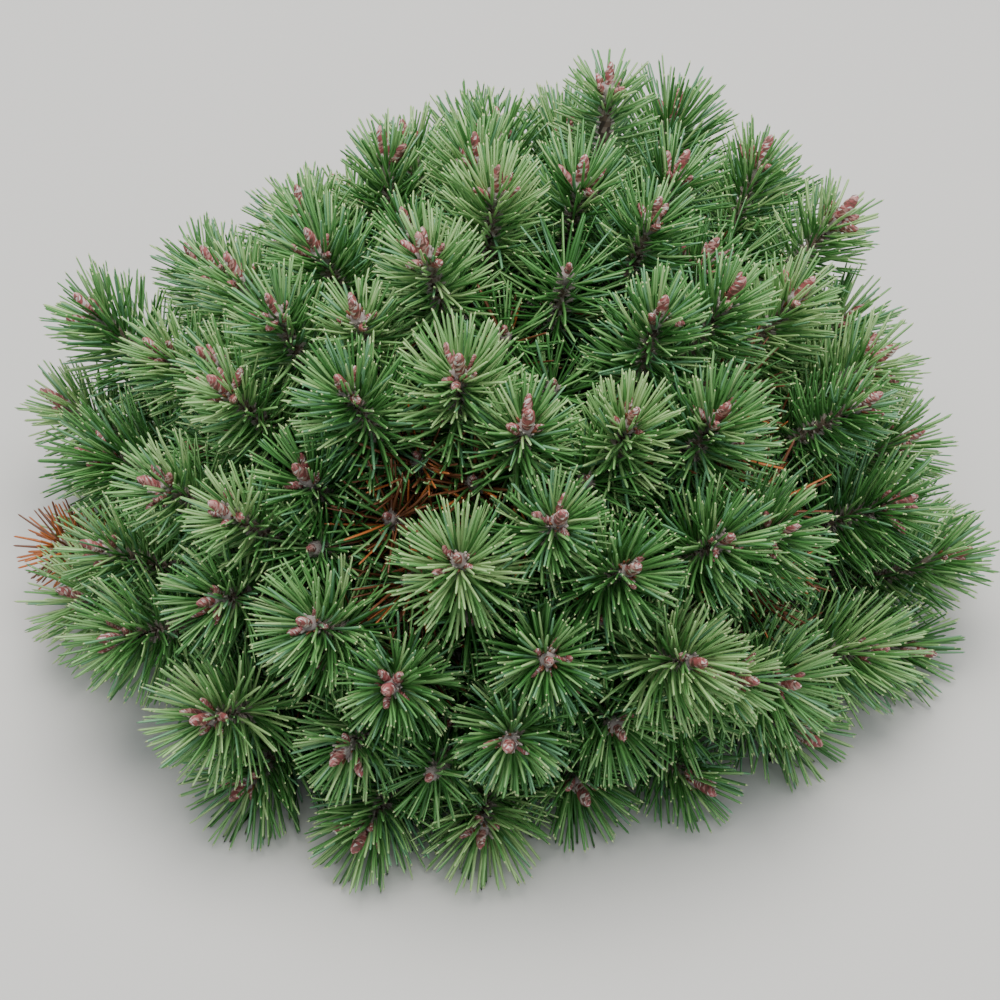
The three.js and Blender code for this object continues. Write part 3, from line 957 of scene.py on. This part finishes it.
def add_stem(heap, mass, seed):
    """The stem of a mass, from the bough's end to where its middle shoot goes on."""
    foot, tip = mass.along(BOUGH["end"] - STEM_OVERLAP), mass.along(STEM["end"])
    path = np.linspace(foot, tip, STEM_RINGS)
    first = seed * STEM_CELLS
    pegged = pegs(STEM_RINGS, STEM_SIDES, first, STEM_PEGS, Draw.STEM_PEG)
    radii = np.linspace(STEM["foot"], STEM["tip"], STEM_RINGS)[:, None] * pegged

    def tones(faces, _, __):
        return deal(TWIG_SHARES, first + np.arange(faces) // 2, Draw.STEM_TONE)

    tube(heap, path, radii, STEM_SIDES, tones)


# ---- Bark ----
CELL_STEPS = (7919, 97, 13)  # from one seed, one column and one row of cells to the next
FINE = 2  # how many fine cells go into a coarse one round the limb, and along it
FINE_ALONG = 2.3
CRACK_SLOPE = 1.8
PLATE_SHARE, FINE_SHARE = 0.6, 0.4
# Sides of a limb, plates round it, a plate's length, the share of the radius at the bottom of a
# crack, and how far plates stand out from there.
BOUGH_BARK = {"sides": 16, "plates": 6, "length": 7.0, "crack": 0.92, "depth": 0.16}
TRUNK_BARK = {"sides": 48, "plates": 14, "length": 9.0, "crack": 0.93, "depth": 0.09}
TRUNK_SEED, FIRST_BOUGH_SEED = 5, 20
TRUNK_RINGS, BOUGH_RINGS, TOP_BOUGH_RINGS = 44, 36, 16
TOP_BOUGH_SUNK = 3  # how far the foot of the upright bough is sunk in the trunk


def value_noise(u, v, wrap, seed):
    """Smooth noise over a grid of chances that closes on itself after `wrap` cells of u."""
    u0, v0 = np.floor(u).astype(int), np.floor(v).astype(int)
    fu, fv = u - u0, v - v0
    fu, fv = fu * fu * (3 - 2 * fu), fv * fv * (3 - 2 * fv)

    def at(a, b):
        cell = seed * CELL_STEPS[0] + (a % wrap) * CELL_STEPS[1] + b * CELL_STEPS[2]
        return chance(cell, Draw.NOISE)

    low = lerp(at(u0, v0), at(u0 + 1, v0), fu)
    high = lerp(at(u0, v0 + 1), at(u0 + 1, v0 + 1), fu)
    return lerp(low, high, fv)


def barked(bark, rings, spacing, seed):
    """Plates and cracks: the share of a limb's radius at each of its points."""
    sides, plates = bark["sides"], bark["plates"]
    along = np.arange(rings) * spacing / bark["length"]
    v, u = np.meshgrid(along, np.arange(sides) / sides, indexing="ij")
    coarse = value_noise(u * plates, v, plates, seed)
    fine = value_noise(u * plates * FINE, v * FINE_ALONG, plates * FINE, seed + 1)
    cracks = np.abs(coarse - 0.5) * 2
    relief = PLATE_SHARE * np.minimum(cracks * CRACK_SLOPE, 1) + FINE_SHARE * fine
    return bark["crack"] + bark["depth"] * relief


def one_tone(faces, _, __):
    return np.zeros(faces, dtype=int)


def add_bough(heap, path, seed):
    spacing = np.linalg.norm(path[1] - path[0])
    radii = np.linspace(BOUGH["foot"], BOUGH["tip"], len(path))[:, None]
    radii = radii * barked(BOUGH_BARK, len(path), spacing, seed)
    tube(heap, path, radii, BOUGH_BARK["sides"], one_tone)


def trunk_centre(z):
    share = z / TRUNK["height"]
    return np.stack([LEAN[0] * share**2, LEAN[1] * share**2, z], -1)


def bough_path(mass, order):
    """`order` has the masses from the lowest up, as their boughs leave the trunk.

    The last bough stands upright on the trunk's top.
    """
    end = mass.along(BOUGH["end"])
    rank = order.index(mass)
    last = len(order) - 1
    if rank == last:
        start = trunk_centre(np.float64(TRUNK["height"] - TOP_BOUGH_SUNK))
        lift = (BOUGH["end"] + CROWN["heart"] - TRUNK["height"]) / 3
        return bezier([start, start + UP * lift, end - mass.way * lift, end], TOP_BOUGH_RINGS)
    start = trunk_centre(lerp(BOUGH["lowest"], BOUGH["highest"], rank / (last - 1)))
    leaving = direction(mass.azimuth, mass.elevation * LEAVING)
    stride = np.linalg.norm(end - start) * STRIDE
    return bezier([start, start + leaving * stride, end - mass.way * stride, end], BOUGH_RINGS)


def add_trunk(heap):
    sides, rings = TRUNK_BARK["sides"], TRUNK_RINGS
    z = np.linspace(0, TRUNK["height"], rings)
    turn = 2 * math.pi * np.arange(sides) / sides
    radius = lerp(TRUNK["foot"], TRUNK["top"], z / TRUNK["height"])[:, None]
    flare = TRUNK["flare"] * np.maximum(0, 1 - z / TRUNK["flare_height"])[:, None] ** 2
    lobes = FLARE_MEAN + FLARE_SWING * np.cos(turn * TRUNK["roots"])[None]
    outline = (radius + flare * lobes) * barked(TRUNK_BARK, rings, z[1], TRUNK_SEED)
    # The rings' first side faces -Y, as the one that `across` gives for +Z, so the lobes agree.
    ring = np.stack([np.sin(turn), -np.cos(turn), np.zeros(sides)], -1)
    points = trunk_centre(z)[:, None, :] + ring[None] * outline[..., None]
    faces = tube_faces(rings, sides)
    heap.add(points.reshape(-1, 3), faces, one_tone(len(faces), rings, sides))


# ---- Materials ----
FINISHES = {
    "needle": {"roughness": 0.34},
    "bud": {"roughness": 0.6, "grain": 0.4},
    "twig": {"roughness": 0.85, "grain": 0.6},
}
GRAIN_SCALE, GRAIN_DISTANCE = 900.0, 0.0004
BARK_FINISH = {"roughness": 0.92, "scale": 120, "detail": 8, "grain": 0.6, "distance": 0.001}
BARK_TONES = [(0.3, (46, 36, 30)), (0.5, (92, 76, 64)), (0.72, (132, 116, 102))]


def linear(rgb):
    """The linear colour, with its alpha, of an sRGB colour from 0 to 255."""
    return [((c / 255 + 0.055) / 1.055) ** 2.4 if c > 10 else c / 255 / 12.92 for c in rgb] + [1.0]


def new_material(name):
    """A material, its node tree and its shader."""
    material = bpy.data.materials.new(name)
    material.use_nodes = True
    tree = material.node_tree
    return material, tree, tree.nodes["Principled BSDF"]


def add_bump(tree, shader, height, strength, distance):
    bump = tree.nodes.new("ShaderNodeBump")
    bump.inputs["Strength"].default_value = strength
    bump.inputs["Distance"].default_value = distance
    tree.links.new(height, bump.inputs["Height"])
    tree.links.new(bump.outputs["Normal"], shader.inputs["Normal"])


def plain(name, rgb, roughness, grain=0.0):
    """A plain base colour, with a fine grain in its relief where it has one."""
    material, tree, shader = new_material(name)
    shader.inputs["Base Color"].default_value = linear(rgb)
    shader.inputs["Roughness"].default_value = roughness
    if grain:
        noise = tree.nodes.new("ShaderNodeTexNoise")
        noise.inputs["Scale"].default_value = GRAIN_SCALE
        add_bump(tree, shader, noise.outputs["Fac"], grain, GRAIN_DISTANCE)
    return material


def materials_of(kind):
    colours, finish = COLOURS[kind], FINISHES[kind]
    return [plain(f"{kind}_{tone}", rgb, **finish) for tone, rgb in colours.items()]


def bark_material():
    """Grey-brown bark: patches of tone, dark in the cracks, and a rough relief."""
    material, tree, shader = new_material("bark")
    shader.inputs["Roughness"].default_value = BARK_FINISH["roughness"]
    coords = tree.nodes.new("ShaderNodeTexCoord")
    patches = tree.nodes.new("ShaderNodeTexNoise")
    patches.inputs["Scale"].default_value = BARK_FINISH["scale"]
    patches.inputs["Detail"].default_value = BARK_FINISH["detail"]
    ramp = tree.nodes.new("ShaderNodeValToRGB")
    stops = ramp.color_ramp.elements
    stops.new(0.5)
    for stop, (position, rgb) in zip(stops, BARK_TONES):
        stop.position = position
        stop.color = linear(rgb)
    tree.links.new(coords.outputs["Object"], patches.inputs["Vector"])
    tree.links.new(patches.outputs["Fac"], ramp.inputs["Fac"])
    tree.links.new(ramp.outputs["Color"], shader.inputs["Base Color"])
    height, strength = patches.outputs["Fac"], BARK_FINISH["grain"]
    add_bump(tree, shader, height, strength, BARK_FINISH["distance"])
    return material


# ---- The whole plant ----
def add_new_needles(heap, shoot, main):
    style = main_style(shoot) if main else side_style(shoot)
    dense = NEEDLE["pairs"] * shoot.vigour if main else NEEDLE["side_pairs"]
    pairs = int(dense * shoot.length)
    spray(heap, shoot.foot, shoot.axis, shoot.length, pairs, shoot.number, style)


def add_old_needles(heap, shoot, most):
    """Old needles on the twig below the shoot. They are browner in a hollow and round it."""
    away, browned = nearest_hollow(shoot.way)
    style = old_style(browned if away < BROWN_ROUND else OLD_BROWN)
    reach = np.linalg.norm(shoot.foot - shoot.start)
    axis = (shoot.foot - shoot.start) / reach
    stretch = min(reach, most)
    pairs = int(stretch * NEEDLE["old_pairs"])
    foot = shoot.foot - axis * stretch
    spray(heap, foot, axis, stretch, pairs, shoot.number + OLD_NUMBERS, style)


def dress_shoot(heap, shoot):
    """The shoot's new needles, the old ones below them, its twig and its buds."""
    main = shoot.number < SIDE_NUMBERS
    twig = MAIN_TWIG if main else SIDE_TWIG
    add_new_needles(heap["needles"], shoot, main)
    add_old_needles(heap["needles"], shoot, twig["old"])
    add_twig(heap["twigs"], shoot, twig["foot"], twig["neck"])
    if main:
        add_scales(heap["needles"], shoot)
        bud_cluster(heap["buds"], shoot)
    elif not shoot.dead:
        small_bud(heap["buds"], shoot)


def make_crown():
    mains = main_shoots()
    heaps = {name: {"needles": Heap(), "twigs": Heap(), "buds": Heap()} for name in SECTORS}
    for shoot in mains + side_shoots(mains):
        dress_shoot(heaps[shoot.mass.sector], shoot)
    for k, mass in enumerate(masses):
        add_stem(heaps[mass.sector]["twigs"], mass, k)

    needles, buds, twigs = (materials_of(kind) for kind in COLOURS)
    for sector, heap in heaps.items():
        nodes = [f"foliage_{mass.name}" for mass in masses if mass.sector == sector]
        heap["needles"].piece(f"needles_{sector}", needles, "foliage", nodes, smooth=False)
        heap["twigs"].piece(f"twigs_{sector}", twigs, "bark", nodes)
        heap["buds"].piece(f"buds_{sector}", buds, "foliage", nodes, smooth=False)


def make_limbs():
    bark = bark_material()
    trunk = Heap()
    add_trunk(trunk)
    trunk.piece("trunk_bark", [bark], "bark", ["trunk"])
    boughs = Heap()
    order = sorted(masses, key=lambda mass: mass.elevation)
    for seed, mass in enumerate(masses, FIRST_BOUGH_SEED):
        add_bough(boughs, bough_path(mass, order), seed)
    boughs.piece("boughs_bark", [bark], "bark", [f"bough_{mass.name}" for mass in masses])


# ---- Floor, light and camera ----
FLOOR = {"half": 6.0, "colour": (206, 203, 199), "roughness": 0.9}
SKY = {"colour": (0.86, 0.93, 1.0, 1.0), "strength": 0.8}
KEY = {"place": (0.0, 0.2, 2.4), "size": 2.2, "power": 84, "colour": (1.0, 0.98, 0.94)}
FILL = {"place": (1.8, -1.6, 1.4), "size": 1.8, "power": 8, "colour": (1.0, 1.0, 1.0)}
LIT_POINT = (0, 0, 0.1)
CAMERA = {"elevation": 45, "distance": 1.7, "angle": 17.8, "target": (0.0, 0.0, 0.052)}


def make_floor():
    mesh = bpy.data.meshes.new("floor")
    half = FLOOR["half"]
    corners = [(-half, -half, 0), (half, -half, 0), (half, half, 0), (-half, half, 0)]
    mesh.from_pydata(corners, [], [(0, 1, 2, 3)])
    mesh.materials.append(plain("floor", FLOOR["colour"], FLOOR["roughness"]))
    floor = bpy.data.objects.new("floor", mesh)
    bpy.context.scene.collection.objects.link(floor)


def aim(thing, place, way):
    """Puts a lamp or the camera in its place, where it looks along a way."""
    thing.location = place
    thing.rotation_euler = way.to_track_quat("-Z", "Y").to_euler()
    bpy.context.scene.collection.objects.link(thing)


def area_light(name, place, size, power, colour):
    light = bpy.data.lights.new(name, "AREA")
    light.shape = "DISK"
    light.size = size
    light.energy = power
    light.color = colour
    aim(bpy.data.objects.new(name, light), place, Vector(LIT_POINT) - Vector(place))


def make_light():
    world = bpy.data.worlds.new("soft")
    world.use_nodes = True
    sky = world.node_tree.nodes["Background"]
    sky.inputs["Color"].default_value = SKY["colour"]
    sky.inputs["Strength"].default_value = SKY["strength"]
    bpy.context.scene.world = world
    area_light("key", **KEY)
    area_light("fill", **FILL)


def make_camera():
    """It looks down at the plant at the photograph's angle."""
    elevation = math.radians(CAMERA["elevation"])
    back = Vector((0, -math.cos(elevation), math.sin(elevation)))
    lens = bpy.data.cameras.new("camera")
    lens.sensor_fit = "HORIZONTAL"
    lens.angle = math.radians(CAMERA["angle"])
    camera = bpy.data.objects.new("camera", lens)
    aim(camera, Vector(CAMERA["target"]) + back * CAMERA["distance"], -back)
    bpy.context.scene.camera = camera


make_crown()
make_limbs()
make_floor()
make_light()
make_camera()
bpy.context.scene.view_settings.view_transform = "AgX"
